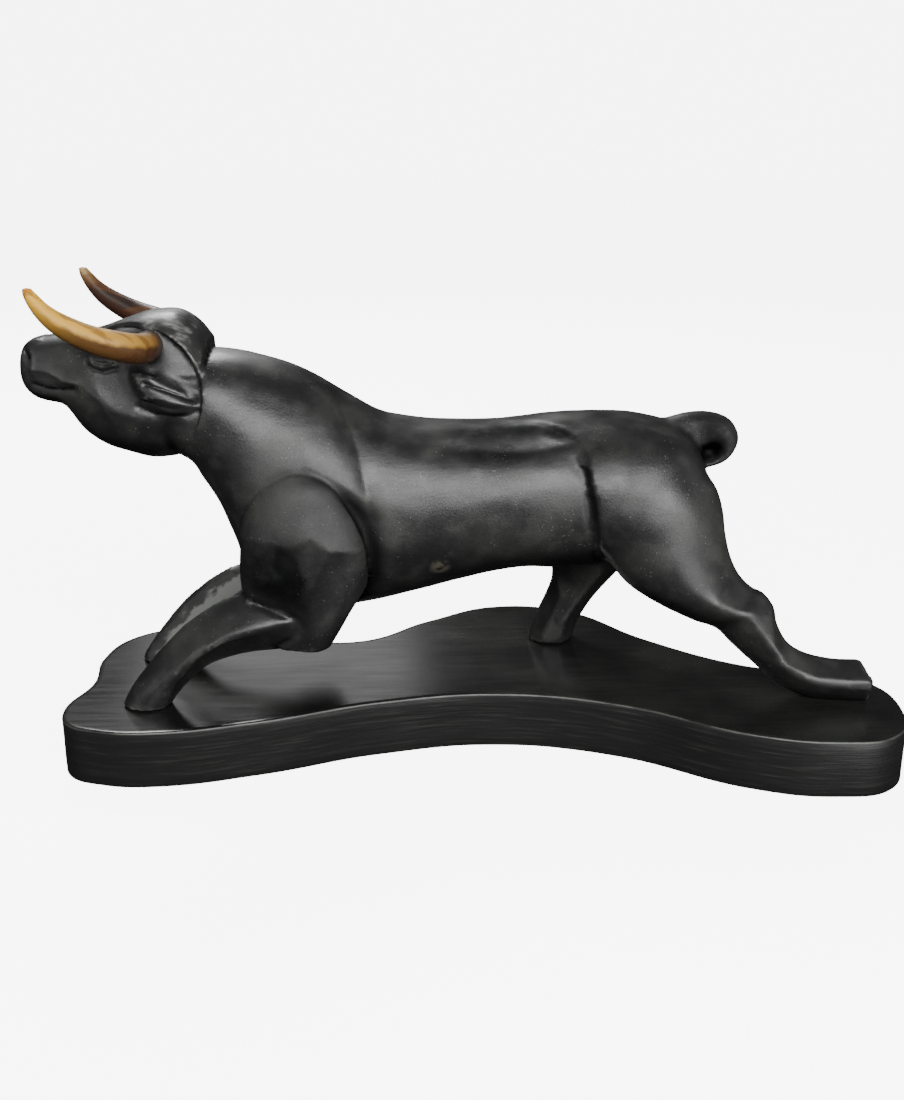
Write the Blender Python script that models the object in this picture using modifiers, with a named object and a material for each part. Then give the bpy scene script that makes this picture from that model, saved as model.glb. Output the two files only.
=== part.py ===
"""A carved wooden bull with real horn horns, standing on a shaped wooden plinth.

Metres, +Z up. The origin is the middle of the plinth's underside. The bull faces -X and its
middle plane is Y = 0. The bull is lofted volume by volume, as a carver blocks it out, and the
volumes are joined into one solid. The carving tables are in shares of the bull's length: one
share is 1/460 of it, which is a millimetre at the real size, and their heights start at the
plinth's top.
"""
import math

import bmesh
import bpy
from mathutils import Euler, Vector

# Driving dimensions
BULL_LENGTH = 0.460          # muzzle to hind toe
PLINTH_THICKNESS = 0.032
PLINTH_RIM = 0.0225          # plinth beyond the toes, at each end
PLINTH_SIDE_RIM = 0.0435     # plinth beyond the hooves, at each side
PLINTH_ARRIS = 0.0008        # eased edge of the plinth
HORN_ROOT_DIAMETER = 0.0152
SOCKET_DEPTH = 0.012         # how far a horn's root goes into the head
FIT_GAP = 0.0003             # clearance between pieces that touch

# Stance, in shares of the bull's length
SHARE = BULL_LENGTH / 460
FRONT_TOE, HIND_TOE = -204.5, 204.5
NEAR_HOOF_EDGE, FAR_HOOF_EDGE = -57.5, 57.5
FRONT_HOOF_NEAR, FRONT_HOOF_FAR = -38, 27
FAR_FOREARM_LOWER, FAR_FOREARM_FORWARD = 3.5, 3

# How finely the volumes are drawn
SIDES_TRUNK, SIDES_UPPER_ARM, SIDES_LIMB, SIDES_HORN, SIDES_EAR = 24, 18, 16, 12, 8
RINGS_BETWEEN = 2            # rings per step of a table
CUTTER_DEPTH = 0.040         # the cutters' own thickness, well past the wood they take away


def fresh_scene():
    for thing in list(bpy.data.objects):
        bpy.data.objects.remove(thing, do_unlink=True)


def collection(name):
    group = bpy.data.collections.new(name)
    bpy.context.scene.collection.children.link(group)
    return group


def finish(name, colour, roughness):
    material = bpy.data.materials.new(name)
    material.use_nodes = True
    shader = material.node_tree.nodes["Principled BSDF"]
    shader.inputs["Base Color"].default_value = (*colour, 1)
    shader.inputs["Roughness"].default_value = roughness
    shader.inputs["Metallic"].default_value = 0
    return material


def between(table, step, part):
    """The row a part of the way from one row of a table to the next, on a smooth curve."""
    rows = [table[min(max(step + k, 0), len(table) - 1)] for k in (-1, 0, 1, 2)]
    t = part
    weights = (-t + 2 * t**2 - t**3, 2 - 5 * t**2 + 3 * t**3, t + 4 * t**2 - 3 * t**3, t**3 - t**2)
    return [sum(w * row[i] for w, row in zip(weights, rows)) / 2 for i in range(len(rows[0]))]


def smooth_rows(table, fineness):
    rows = [between(table, step, k / fineness) for step in range(len(table) - 1) for k in range(fineness)]
    return rows + [list(table[-1])]


def power_of(value, power):
    return math.copysign(abs(value) ** (2 / power), value)


def skin(name, rings, group):
    """A closed solid through rings of points: bridged side by side and capped at both ends."""
    bm = bmesh.new()
    edges = []
    for ring in rings:
        circle = bmesh.ops.create_circle(bm, segments=len(ring), radius=1)
        for vert, point in zip(circle["verts"], ring):
            vert.co = point
        edges.append(list({edge for vert in circle["verts"] for edge in vert.link_edges}))
    for first, second in zip(edges, edges[1:]):
        bmesh.ops.bridge_loops(bm, edges=first + second)
    for end in (edges[0], edges[-1]):
        bmesh.ops.edgeloop_fill(bm, edges=end)
    bmesh.ops.recalc_face_normals(bm, faces=bm.faces)
    mesh = bpy.data.meshes.new(name)
    bm.to_mesh(mesh)
    bm.free()
    mesh.shade_smooth()
    mesh.set_sharp_from_angle(angle=math.radians(35))
    thing = bpy.data.objects.new(name, mesh)
    group.objects.link(thing)
    return thing


def section(row, sides, across):
    """One carved section. A row gives the ends of the section in the side view (x and z of its
    upper or rear end, then of its lower or front end), its middle across the bull, its half
    width, how far up its widest point is, how square it is (2 is an oval, less has ridges) and,
    on the rump, how far its top runs forward as a tongue."""
    top = Vector((row[0], row[1]))
    low = Vector((row[2], row[3]))
    middle, half_width, widest, power = row[4:8]
    tongue = row[8] if len(row) > 8 else 0
    centre = low.lerp(top, widest)
    points = []
    for k in range(sides):
        angle = math.tau * k / sides
        rise = power_of(math.sin(angle), power)
        place = centre.lerp(top, rise) if rise > 0 else centre.lerp(low, -rise)
        place -= Vector((1, TONGUE_SLOPE)) * tongue * max(rise, 0) ** TONGUE_POINT
        y = middle + half_width * power_of(math.cos(angle), power)
        points.append(at(place.x, across * y, place.y))
    return points


def at(x, y, z):
    """A place given in shares of the bull's length, with its height above the plinth."""
    return Vector((x * SHARE, y * SHARE, PLINTH_THICKNESS + FIT_GAP + z * SHARE))


def volume(name, table, group, sides=SIDES_LIMB, across=1):
    rings = [section(row, sides, across) for row in smooth_rows(table, RINGS_BETWEEN)]
    return skin(name, rings, group)


def sweep(name, path, radii, group, sides):
    """A tapered round solid along a path."""
    rings = []
    for k, (centre, radius) in enumerate(zip(path, radii)):
        ahead = path[min(k + 1, len(path) - 1)] - path[max(k - 1, 0)]
        turn = ahead.to_track_quat("Z", "Y")
        rings.append([
            centre + turn @ Vector((radius * math.cos(a), radius * math.sin(a), 0))
            for a in (math.tau * i / sides for i in range(sides))
        ])
    return skin(name, rings, group)


# Carving tables. Each row: upper end x, z; lower end x, z; middle y; half width; widest; squareness
TRUNK = (
    (-158, 188, -176, 136, 0, 30.5, 0.5, 2.5),
    (-138, 187, -157, 129.5, 0, 34.5, 0.5, 2.3),
    (-122, 184.5, -149, 117, 0, 37, 0.5, 2.1),
    (-104, 179.5, -141, 102, 0, 41, 0.47, 2.0),
    (-87, 172, -134, 83, 0, 45, 0.45, 2.0),
    (-70, 161.5, -127, 64, 0, 47.5, 0.45, 2.05),
    (-56, 153.5, -107, 49, 0, 48, 0.45, 2.1),
    (-44, 150, -78, 44.5, 0, 45, 0.47, 2.15),
    (-24, 147.5, -48, 49.5, 0, 43.5, 0.5, 2.15),
    (2, 147, -10, 59.5, 0, 44.5, 0.5, 2.15),
    (24, 148.5, 20, 65.5, 0, 45, 0.5, 2.15),
    (46, 151, 48, 65, 0, 44, 0.5, 2.1),
    (70, 150, 75, 68, 0, 41, 0.5, 2.1),
    (92, 146, 100, 78, 0, 35, 0.5, 2.1),
    (108, 138, 116, 96, 0, 25, 0.5, 2.0),
)
RUMP = (
    (51, 151.7, 63, 70, 0, 49.5, 0.45, 2.1, 38),
    (63, 152.2, 76, 69, 0, 51, 0.45, 2.1, 31),
    (77, 151.6, 89, 73, 0, 50.5, 0.45, 2.1, 17),
    (91, 149.5, 101, 80, 0, 47.5, 0.47, 2.1, 6),
    (104, 145, 112, 90, 0, 41, 0.5, 2.1, 0),
    (115, 137, 120, 102, 0, 31, 0.5, 2.0, 0),
    (121.5, 127, 124.5, 113, 0, 17, 0.5, 2.0, 0),
)
TONGUE_SLOPE, TONGUE_POINT = 0.10, 14
HEAD = (
    (-240.5, 184, -241, 173, 0, 8, 0.5, 2.5),
    (-238.5, 190, -239, 167, 0, 13, 0.5, 2.5),
    (-233, 193.5, -234, 162, 0, 16, 0.5, 2.4),
    (-224, 195, -226, 159.5, 0, 17.5, 0.5, 2.4),
    (-216, 196, -219, 157.5, 0, 18.5, 0.5, 2.4),
    (-208, 197, -211, 145, 0, 21, 0.5, 2.4),
    (-198, 199, -200, 137, 0, 25.5, 0.5, 2.4),
    (-186, 203, -187, 132.5, 0, 29.5, 0.5, 2.4),
    (-173, 207, -174, 129.5, 0, 32, 0.5, 2.4),
    (-159, 207.5, -163, 131, 0, 33.5, 0.5, 2.4),
    (-149, 202, -155, 138, 0, 33.5, 0.5, 2.4),
    (-142, 193, -150, 148, 0, 31, 0.5, 2.4),
)
UPPER_ARM = (
    (-87, 130, -108, 129, 36, 9, 0.5, 2.0),
    (-75, 122, -119, 120, 36.5, 16, 0.5, 2.0),
    (-64, 107, -126, 105, 36.5, 20, 0.5, 2.0),
    (-58.5, 89, -128.5, 87, 36, 21.5, 0.5, 2.0),
    (-60, 72, -129, 70, 36, 21.5, 0.5, 2.0),
    (-67, 58, -127, 56, 37, 20.5, 0.5, 2.1),
    (-75, 45, -121, 44, 38, 18, 0.5, 2.2),
    (-81.5, 33.5, -110, 33.5, 38, 14.5, 0.5, 2.4),
)
FOREARM = (
    (-90, 70, -88, 35, 0, 14, 0.5, 2.0),
    (-108, 66, -106, 31, 0, 15.5, 0.55, 1.6),
    (-126, 63.5, -122, 29.5, 0, 16, 0.54, 1.3),
    (-142, 57.5, -136, 26.5, 0, 15, 0.5, 1.25),
    (-158, 47, -149, 21.5, 0, 14, 0.45, 1.25),
    (-173, 32.5, -160, 12, 0, 13, 0.45, 1.3),
    (-184, 19, -168, 3, 0, 12.5, 0.5, 1.5),
    (-193, 6, -172, -6, 0, 12, 0.5, 2.0),
    (-197, -4, -175, -14, 0, 12, 0.5, 2.3),
)
HIND_LEG_BACK = (
    (100, 130, 72, 131, 24, 10, 0.5, 2.0),
    (114, 126, 58, 126, 24, 19, 0.5, 2.0),
    (124, 118, 53, 117, 25.5, 23, 0.5, 2.0),
    (128.5, 105, 55.5, 102, 28, 24.5, 0.5, 2.0),
    (131, 90, 63, 83, 30.5, 23.5, 0.5, 1.9),
    (134.5, 77, 77, 65, 33.5, 21.5, 0.5, 1.8),
    (139.5, 68, 95, 53, 36, 19.5, 0.5, 1.6),
    (146, 62, 113, 44, 38, 17.5, 0.52, 1.45),
    (151.5, 59.5, 126, 39.5, 39.5, 16, 0.55, 1.4),
    (156.5, 53, 135, 31, 41, 15, 0.55, 1.35),
    (160, 42, 147, 20.5, 42, 14.5, 0.55, 1.35),
    (167, 31, 158, 10.5, 43, 14.5, 0.58, 1.35),
    (179, 24.5, 173, 1.5, 44, 15, 0.6, 1.4),
    (194, 21.5, 190, -2.5, 45, 15, 0.62, 1.45),
    (208, 20.5, 211, -4, 45.5, 15, 0.65, 1.5),
)
HIND_LEG_FORWARD = (
    (100, 130, 70, 131, 24, 10, 0.5, 2.0),
    (113, 126, 57, 126, 24, 19, 0.5, 2.0),
    (121, 115, 49, 115, 26.5, 23, 0.5, 2.0),
    (120, 99, 45, 96, 30.5, 24, 0.5, 2.0),
    (112, 81, 42, 75, 34, 22.5, 0.5, 1.8),
    (100, 63, 45, 58, 38, 19, 0.5, 1.6),
    (86, 44, 47, 41, 41, 16, 0.5, 1.45),
    (74, 28.5, 42, 26, 43, 14, 0.5, 1.4),
    (65, 13, 36, 12, 44.5, 13, 0.5, 1.5),
    (61, 1, 34, 1, 46, 12.5, 0.5, 2.0),
    (59, -7, 33, -7, 46, 12, 0.5, 2.2),
)
TAIL = (
    (86, 145, 94, 125, 0, 9, 0.5, 2.1),
    (101, 147, 108, 125, 0, 9.5, 0.5, 2.2),
    (114, 150.5, 118, 128, 0, 9.5, 0.5, 2.2),
    (127, 150.5, 125.5, 131, 0, 9, 0.5, 2.2),
    (137.5, 146, 129.5, 130.5, 0, 8.5, 0.5, 2.2),
    (142.5, 137, 131, 128.5, 0, 8, 0.5, 2.2),
    (140.5, 128.5, 130, 126.5, 0, 7.5, 0.5, 2.2),
    (135.5, 123, 128.5, 125, 0, 7, 0.5, 2.1),
    (128, 120, 125.5, 124, 0, 6.5, 0.5, 2.0),
    (119, 118, 117, 123, 0, 6, 0.5, 2.0),
)
TAIL_HOLLOW = (127, 128)     # the hollow inside the tail's curl isn't pierced: the wall left in it
TAIL_WALL_RADIUS = 9
TAIL_WALL_HALF_THICKNESS = 3
EAR = (
    (-180, 180, -180, 177, 27, 2.5, 0.5, 2.0),
    (-176, 180, -175, 167, 29.5, 3.5, 0.6, 1.8),
    (-167, 177.5, -166, 158.5, 31, 4.2, 0.65, 1.7),
    (-158, 173.5, -156.5, 155.5, 32, 4, 0.65, 1.7),
    (-150, 168.5, -149, 158, 32, 3, 0.6, 1.8),
    (-144.5, 165, -144, 162.5, 31.5, 1.5, 0.5, 2.0),
)
# Each row: x, y, z of the horn's middle and its thickness as a share of the root's
HORN = (
    (-170.5, 30, 192, 1.0),
    (-171, 36, 192.5, 1.0),
    (-173.5, 43, 193.5, 0.99),
    (-179.5, 48, 195.5, 0.96),
    (-189, 51, 198.5, 0.9),
    (-198, 52.5, 202.5, 0.82),
    (-207, 53.5, 208, 0.7),
    (-213, 54, 213.5, 0.56),
    (-217, 54, 219, 0.44),
    (-219.5, 54, 224, 0.24),
)
# The plinth's plan, as shares of its half length and half depth, anticlockwise from the front waist
PLINTH_PLAN = (
    (0.045, -0.345), (0.33, -0.51), (0.61, -0.89), (0.79, -0.99), (0.925, -0.94), (0.995, -0.65),
    (0.965, -0.26), (0.68, 0.0), (0.47, 0.40), (0.28, 0.90), (0.08, 1.0), (-0.12, 0.76),
    (-0.31, 0.45), (-0.50, 0.52), (-0.66, 0.78), (-0.81, 0.72), (-0.93, 0.55), (-0.975, 0.25),
    (-0.965, -0.10), (-1.0, -0.43), (-0.975, -0.61), (-0.90, -0.70), (-0.77, -0.735),
    (-0.53, -0.63), (-0.25, -0.425),
)
# The flat cut on each side of the head: its middle and its radius, in shares, and how it turns
FACET_CENTRE = (-180, 28.2, 166)
FACET_RADIUS = 37
FACET_LEAN = 11
FACET_TOE_IN = 6
# The hollow along each side of the loins: its middle, its half sizes and how it leans
LOIN_HOLLOW_CENTRE = (8, 22.8, 146.7)
LOIN_HOLLOW_SIZE = (55, 18.7, 8)
LOIN_HOLLOW_LEAN = 24.7


def horn_path(side):
    rows = smooth_rows(HORN, 2)
    path = [at(x, side * y, z) for x, y, z, _ in rows]
    radii = [share * HORN_ROOT_DIAMETER / 2 for *_, share in rows]
    return path, radii


def horn(name, side, group):
    path, radii = horn_path(side)
    inward = Vector((0, -side, 0))
    path = [path[0] + inward * SOCKET_DEPTH] + path
    return sweep(name, path, [radii[0]] + radii, group, SIDES_HORN)


def socket(name, side, group):
    """The hole that a horn's root sits in: the root's own form with the fit's clearance."""
    path, radii = horn_path(side)
    inward = Vector((0, -side, 0))
    path = [path[0] + inward * (SOCKET_DEPTH + FIT_GAP)] + path[:8]
    radii = [radius + FIT_GAP for radius in [radii[0]] + radii[:8]]
    return sweep(name, path, radii, group, SIDES_HORN)


def head_facet(name, side, group):
    """A flat cut that leaves the raised band over the crown. It leans in towards its top."""
    radius = FACET_RADIUS * SHARE
    bpy.ops.mesh.primitive_cylinder_add(vertices=48, radius=radius, depth=CUTTER_DEPTH)
    cutter = bpy.context.object
    cutter.name = name
    turn = Euler((math.radians(90 + side * FACET_LEAN), 0, math.radians(side * FACET_TOE_IN)))
    cutter.rotation_euler = turn
    x, y, z = FACET_CENTRE
    outward = turn.to_matrix() @ Vector((0, 0, -side))
    cutter.location = at(x, side * y, z) + outward * CUTTER_DEPTH / 2
    move_to(cutter, group)


def ball(name, place, half_sizes, group):
    bpy.ops.mesh.primitive_uv_sphere_add(segments=24, ring_count=12, radius=1, location=place)
    thing = bpy.context.object
    thing.name = name
    thing.scale = [size * SHARE for size in half_sizes]
    move_to(thing, group)
    return thing


def loin_hollow(name, side, group):
    """A long shallow scoop, cut with a gouge beside the backbone."""
    x, y, z = LOIN_HOLLOW_CENTRE
    cutter = ball(name, at(x, side * y, z), LOIN_HOLLOW_SIZE, group)
    cutter.rotation_euler.x = math.radians(-side * LOIN_HOLLOW_LEAN)


def ground_cutter(group):
    """Everything below the hooves' soles."""
    middle = at(0, 0, 0).z - CUTTER_DEPTH / 2
    bpy.ops.mesh.primitive_cube_add(size=1, location=(0, 0, middle))
    cutter = bpy.context.object
    cutter.name = "ground_cutter"
    cutter.scale = (1.2 * BULL_LENGTH, 0.6 * BULL_LENGTH, CUTTER_DEPTH)
    bpy.ops.object.transform_apply(location=False, rotation=False, scale=True)
    move_to(cutter, group)


def move_to(thing, group):
    for owner in list(thing.users_collection):
        owner.objects.unlink(thing)
    group.objects.link(thing)


def hide(group):
    for thing in group.objects:
        thing.hide_render = True
        thing.display_type = "WIRE"


def shifted(table, dx, dy, dz=0):
    return [(r[0] + dx, r[1] + dz, r[2] + dx, r[3] + dz, r[4] + dy, *r[5:]) for r in table]


def boolean(body, operation, operand):
    """Joins a collection of closed solids to a body, or cuts them from it."""
    step = body.modifiers.new(operand.name, "BOOLEAN")
    step.operation = operation
    step.operand_type = "COLLECTION"
    step.collection = operand
    step.solver = "EXACT"


def bull(group, masses, facets, hollows):
    head = volume("head", HEAD, masses, sides=SIDES_TRUNK)
    boolean(head, "DIFFERENCE", facets)
    for word, side in (("left", -1), ("right", 1)):
        head_facet(word + "_head_facet", side, facets)
        volume(word + "_upper_arm", UPPER_ARM, masses, sides=SIDES_UPPER_ARM, across=side)
        volume(word + "_ear", EAR, masses, sides=SIDES_EAR, across=side)
        loin_hollow(word + "_loin_hollow", side, hollows)
        socket(word + "_socket", side, hollows)
    volume("left_forearm", shifted(FOREARM, 0, FRONT_HOOF_NEAR), masses)
    far_forearm = shifted(FOREARM, -FAR_FOREARM_FORWARD, FRONT_HOOF_FAR, -FAR_FOREARM_LOWER)
    volume("right_forearm", far_forearm, masses)
    volume("left_hind_leg", HIND_LEG_BACK, masses, across=-1)
    volume("right_hind_leg", HIND_LEG_FORWARD, masses)
    volume("rump", RUMP, masses, sides=SIDES_TRUNK)
    volume("tail", TAIL, masses, sides=SIDES_HORN)
    wall = (TAIL_WALL_RADIUS, TAIL_WALL_HALF_THICKNESS, TAIL_WALL_RADIUS)
    ball("tail_wall", at(TAIL_HOLLOW[0], 0, TAIL_HOLLOW[1]), wall, masses)
    ground_cutter(hollows)
    body = volume("bull", TRUNK, group, sides=SIDES_TRUNK)
    boolean(body, "UNION", masses)
    boolean(body, "DIFFERENCE", hollows)
    return body


def plinth(group):
    half_length = (HIND_TOE - FRONT_TOE) / 2 * SHARE + PLINTH_RIM
    half_depth = (FAR_HOOF_EDGE - NEAR_HOOF_EDGE) / 2 * SHARE + PLINTH_SIDE_RIM
    curve = bpy.data.curves.new("plinth", "CURVE")
    curve.dimensions = "2D"
    curve.fill_mode = "BOTH"
    curve.extrude = PLINTH_THICKNESS / 2
    curve.resolution_u = 4
    line = curve.splines.new("BEZIER")
    line.bezier_points.add(len(PLINTH_PLAN) - 1)
    line.use_cyclic_u = True
    for point, (x, y) in zip(line.bezier_points, PLINTH_PLAN):
        point.co = (x * half_length, y * half_depth, 0)
        point.handle_left_type = point.handle_right_type = "AUTO"
    board = bpy.data.objects.new("plinth", curve)
    board.location.z = PLINTH_THICKNESS / 2
    group.objects.link(board)
    weld = board.modifiers.new("weld", "WELD")
    weld.merge_threshold = 0.00005
    ease = board.modifiers.new("eased edge", "BEVEL")
    ease.width = PLINTH_ARRIS
    ease.segments = 2
    ease.limit_method = "ANGLE"
    ease.angle_limit = math.radians(60)
    return board


def main():
    fresh_scene()
    group = collection("bull_sculpture")
    masses = collection("carving_volumes")
    facets = collection("head_cutters")
    hollows = collection("cutters")
    ebonised = finish("ebonised_wood", (0.018, 0.018, 0.019), 0.38)
    painted = finish("plinth_black", (0.014, 0.015, 0.014), 0.42)
    keratin = finish("horn", (0.56, 0.36, 0.16), 0.25)
    bull(group, masses, facets, hollows).data.materials.append(ebonised)
    plinth(group).data.materials.append(painted)
    for name, side in (("left_horn", -1), ("right_horn", 1)):
        horn(name, side, group).data.materials.append(keratin)
    for cutters in (masses, facets, hollows):
        hide(cutters)


main()
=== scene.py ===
"""Looks of a carved wooden bull with real horn horns, on a shaped and painted wooden plinth.

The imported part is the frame: metres, +Z up, the bull faces -X, the plinth's underside is z = 0.
"""
import math

import bmesh
import bpy
import numpy as np
from mathutils import Euler, Matrix, Vector, noise
from mathutils.bvhtree import BVHTree


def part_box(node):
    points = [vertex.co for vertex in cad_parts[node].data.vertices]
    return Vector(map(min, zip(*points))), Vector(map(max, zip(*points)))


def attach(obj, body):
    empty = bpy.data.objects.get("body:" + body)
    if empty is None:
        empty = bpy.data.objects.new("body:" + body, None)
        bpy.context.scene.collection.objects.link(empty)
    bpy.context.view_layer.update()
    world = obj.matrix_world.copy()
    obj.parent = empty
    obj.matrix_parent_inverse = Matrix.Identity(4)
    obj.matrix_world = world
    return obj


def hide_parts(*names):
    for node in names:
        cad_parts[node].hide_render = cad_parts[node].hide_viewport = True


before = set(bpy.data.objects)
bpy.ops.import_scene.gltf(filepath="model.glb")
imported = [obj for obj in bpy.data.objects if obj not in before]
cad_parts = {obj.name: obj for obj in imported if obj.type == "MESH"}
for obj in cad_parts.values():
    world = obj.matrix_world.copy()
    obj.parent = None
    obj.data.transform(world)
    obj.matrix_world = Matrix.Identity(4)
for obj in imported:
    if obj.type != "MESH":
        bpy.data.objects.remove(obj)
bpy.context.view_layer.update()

# Plinth
# A board sawn to a free-form plan, its edges eased and rubbed, painted black and waxed.
# It rests on its flat underside and the bull stands on it.
PLINTH_HALF_LENGTH, PLINTH_HALF_DEPTH = 0.227, 0.101
PLINTH_TOP_ARRIS, PLINTH_FOOT_ARRIS = 0.0013, 0.0008
PLINTH_UNEVEN = 0.0005       # how far the sanded sides wander in from the sawn line
PLINTH_PLAN = (
    (0.045, -0.345), (0.33, -0.51), (0.61, -0.89), (0.79, -0.99), (0.925, -0.94), (0.995, -0.65),
    (0.965, -0.26), (0.68, 0.0), (0.47, 0.40), (0.28, 0.90), (0.08, 1.0), (-0.12, 0.76),
    (-0.31, 0.45), (-0.50, 0.52), (-0.66, 0.78), (-0.81, 0.72), (-0.93, 0.55), (-0.975, 0.25),
    (-0.965, -0.10), (-1.0, -0.43), (-0.975, -0.61), (-0.90, -0.70), (-0.77, -0.735),
    (-0.53, -0.63), (-0.25, -0.425),
)
PLINTH_BLACK = (0.0070, 0.0075, 0.0070, 1)
PLINTH_DUSTY = (0.022, 0.024, 0.021, 1)
PLINTH_RUBBED = (0.15, 0.145, 0.13, 1)
BARE_WOOD = (0.42, 0.36, 0.29, 1)


class Wire:
    """A socket in a finish's node tree. Sums and products of wires add their Math nodes."""

    def __init__(self, tree, socket=None):
        self.tree = tree
        self.socket = socket

    def node(self, kind, sockets, output=0, stops=(), **settings):
        """Adds a node with its settings, fills sockets with values or wires, gives one output."""
        made = self.tree.nodes.new("ShaderNode" + kind)
        for name, value in settings.items():
            setattr(made, name, value)
        for k, (place, colour) in enumerate(stops):
            ramp = made.color_ramp.elements
            stop = ramp[k] if k < 2 else ramp.new(place)
            stop.position = place
            stop.color = colour
        for name, value in sockets.items():
            if isinstance(value, Wire):
                self.tree.links.new(value.socket, made.inputs[name])
            else:
                made.inputs[name].default_value = value
        return Wire(self.tree, made.outputs[output])

    def into(self, target):
        self.tree.links.new(self.socket, target)

    def __add__(self, other):
        return self.node("Math", {0: self, 1: other}, operation="ADD")

    def __sub__(self, other):
        return self.node("Math", {0: self, 1: other}, operation="SUBTRACT")

    def __rsub__(self, other):
        return self.node("Math", {0: other, 1: self}, operation="SUBTRACT")

    def __mul__(self, other):
        return self.node("Math", {0: self, 1: other}, operation="MULTIPLY")

    __radd__ = __add__
    __rmul__ = __mul__


def new_finish(name):
    """A new material, a wire to draw its nodes from, and its shader."""
    material = bpy.data.materials.new(name)
    material.use_nodes = True
    tree = material.node_tree
    return material, Wire(tree), tree.nodes["Principled BSDF"]


def mixed(factor, first, second):
    """Two colours mixed by a factor from 0 to 1."""
    return factor.node("Mix", {0: factor, 6: first, 7: second}, output=2, data_type="RGBA")


def eased(wire, low, high):
    """0 below the low value, 1 above the high one, with a soft rise between them."""
    sockets = {"Value": wire, "From Min": low, "From Max": high}
    return wire.node("MapRange", sockets, interpolation_type="SMOOTHSTEP")


def mottle(place, scale, detail=3.0, stretch=(1, 1, 1)):
    """A noise pattern of that many features to the metre, stretched along the axes."""
    turned = place.node("Mapping", {"Vector": place, "Scale": stretch})
    return place.node("TexNoise", {"Vector": turned, "Scale": scale, "Detail": detail})


def spot(place, centre, radius):
    """1 at a place on a piece, fading to 0 at a radius from it."""
    away = place.node("VectorMath", {0: place, 1: centre}, output="Value", operation="DISTANCE")
    return 1 - eased(away, 0.35 * radius, radius)


def bump(height, strength, distance, under=None):
    """A bump from a height pattern, laid over another bump if one is given."""
    sockets = {"Height": height, "Strength": strength, "Distance": distance}
    if under:
        sockets["Normal"] = under
    return height.node("Bump", sockets)


def plan_line(plan, fineness):
    """Points along the smooth closed curve through a plan."""
    curve = bpy.data.curves.new("plan", "CURVE")
    line = curve.splines.new("BEZIER")
    line.bezier_points.add(len(plan) - 1)
    line.use_cyclic_u = True
    line.resolution_u = fineness
    for point, (x, y) in zip(line.bezier_points, plan):
        point.co = (x * PLINTH_HALF_LENGTH, y * PLINTH_HALF_DEPTH, 0)
        point.handle_left_type = point.handle_right_type = "AUTO"
    carrier = bpy.data.objects.new("plan", curve)
    bpy.context.scene.collection.objects.link(carrier)
    view = bpy.context.evaluated_depsgraph_get()
    points = [vert.co.copy() for vert in carrier.evaluated_get(view).to_mesh().vertices]
    bpy.data.objects.remove(carrier)
    return points


def fitted(points, low, high):
    """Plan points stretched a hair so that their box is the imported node's."""
    lows = [min(p[k] for p in points) for k in (0, 1)]
    highs = [max(p[k] for p in points) for k in (0, 1)]
    for point in points:
        for k in (0, 1):
            share = (point[k] - lows[k]) / (highs[k] - lows[k])
            point[k] = low[k] + share * (high[k] - low[k])
    return points


def skin(rings):
    """A closed shell through rings of points: bridged side by side and capped at both ends."""
    bm = bmesh.new()
    loops = []
    for ring in rings:
        circle = bmesh.ops.create_circle(bm, segments=len(ring), radius=1)
        for vert, point in zip(circle["verts"], ring):
            vert.co = point
        loops.append(list({edge for vert in circle["verts"] for edge in vert.link_edges}))
    for first, second in zip(loops, loops[1:]):
        bmesh.ops.bridge_loops(bm, edges=first + second)
    for end in (loops[0], loops[-1]):
        bmesh.ops.edgeloop_fill(bm, edges=end)
    bmesh.ops.recalc_face_normals(bm, faces=bm.faces)
    return bm


def piece_of(name, bm):
    """An object at the origin from a bmesh, shaded smooth."""
    mesh = bpy.data.meshes.new(name)
    bm.to_mesh(mesh)
    bm.free()
    mesh.shade_smooth()
    thing = bpy.data.objects.new(name, mesh)
    bpy.context.scene.collection.objects.link(thing)
    return thing


def plinth_profile(thickness):
    """How far in from the sawn line and how high each ring of the plinth's edge runs."""
    foot, top = PLINTH_FOOT_ARRIS, PLINTH_TOP_ARRIS
    quarter = [math.radians(angle) for angle in (0, 30, 60, 90)]
    rows = [(foot + 0.002, 0)]
    rows += [(foot * (1 - math.sin(a)), foot * (1 - math.cos(a))) for a in quarter]
    rows += [(0, thickness * share) for share in (0.18, 0.34, 0.5, 0.66, 0.82)]
    rows += [(top * (1 - math.cos(a)), thickness - top * (1 - math.sin(a))) for a in quarter]
    return rows + [(top + 0.002, thickness)]


def plinth_shell():
    low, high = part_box("plinth")
    line = fitted(plan_line(PLINTH_PLAN, 14), low, high)
    rings = []
    for inset, height in plinth_profile(high.z - low.z):
        ring = []
        for k, point in enumerate(line):
            along = line[(k + 1) % len(line)] - line[k - 1]
            outward = Vector((along.y, -along.x, 0)).normalized()
            wander = 0.5 + 0.5 * noise.noise(Vector((point.x * 40, point.y * 40, height * 60)))
            place = point - outward * (inset + PLINTH_UNEVEN * wander)
            ring.append(Vector((place.x, place.y, low.z + height)))
        rings.append(ring)
    return skin(rings)


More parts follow.
